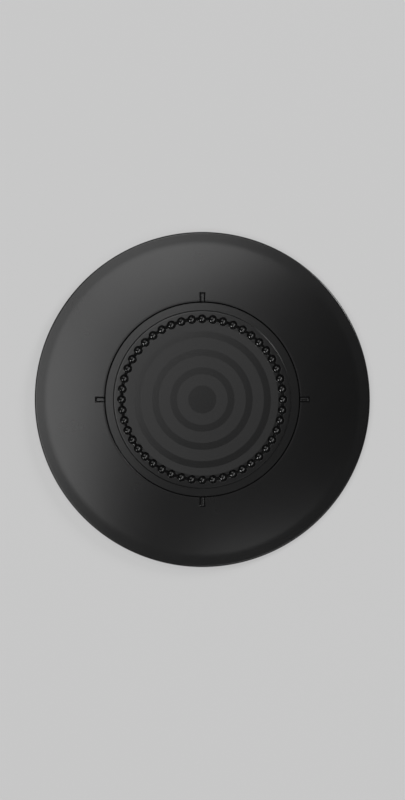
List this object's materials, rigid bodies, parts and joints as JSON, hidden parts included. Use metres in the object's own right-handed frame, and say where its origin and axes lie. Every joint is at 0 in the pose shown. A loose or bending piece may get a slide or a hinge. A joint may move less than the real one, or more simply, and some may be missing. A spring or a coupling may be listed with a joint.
{
  "type": "adhesive magnetic phone patch",
  "caption": "Low domed round patch with a soft skirt, a magnetic socket face with a ring of detent dimples and key slots, and a flat adhesive back.",
  "frame": {"origin": "centre of the adhesive face, where it meets the phone", "axes": "+Z along the disc's axis, out of the adhesive face towards the domed socket face; +X through one key slot"},
  "size_m": [0.065, 0.065, 0.0045],
  "materials": {
    "skirt_rubber": "satin black moulded elastomer with a fine matte skin",
    "socket_plastic": "black hard plastic, semi-gloss, with fine-textured matte rings",
    "keeper_steel": "cold-rolled steel sheet, punched, hidden inside",
    "plate_plastic": "black hard plastic, plain moulded face",
    "adhesive_foam": "dark grey double-sided acrylic foam, tacky satin face",
    "magnet_nickel": "sintered magnet with nickel plating, hidden inside"
  },
  "bodies": {
    "root": {"skirt": "skirt_rubber", "socket_plate": "socket_plastic", "keeper": "keeper_steel", "base_plate": "plate_plastic", "adhesive_disc": "adhesive_foam", "magnet_1": "magnet_nickel", "magnet_2": "magnet_nickel", "magnet_3": "magnet_nickel", "magnet_4": "magnet_nickel", "magnet_5": "magnet_nickel", "magnet_6": "magnet_nickel", "magnet_7": "magnet_nickel", "magnet_8": "magnet_nickel"}
  },
  "joints": []
}
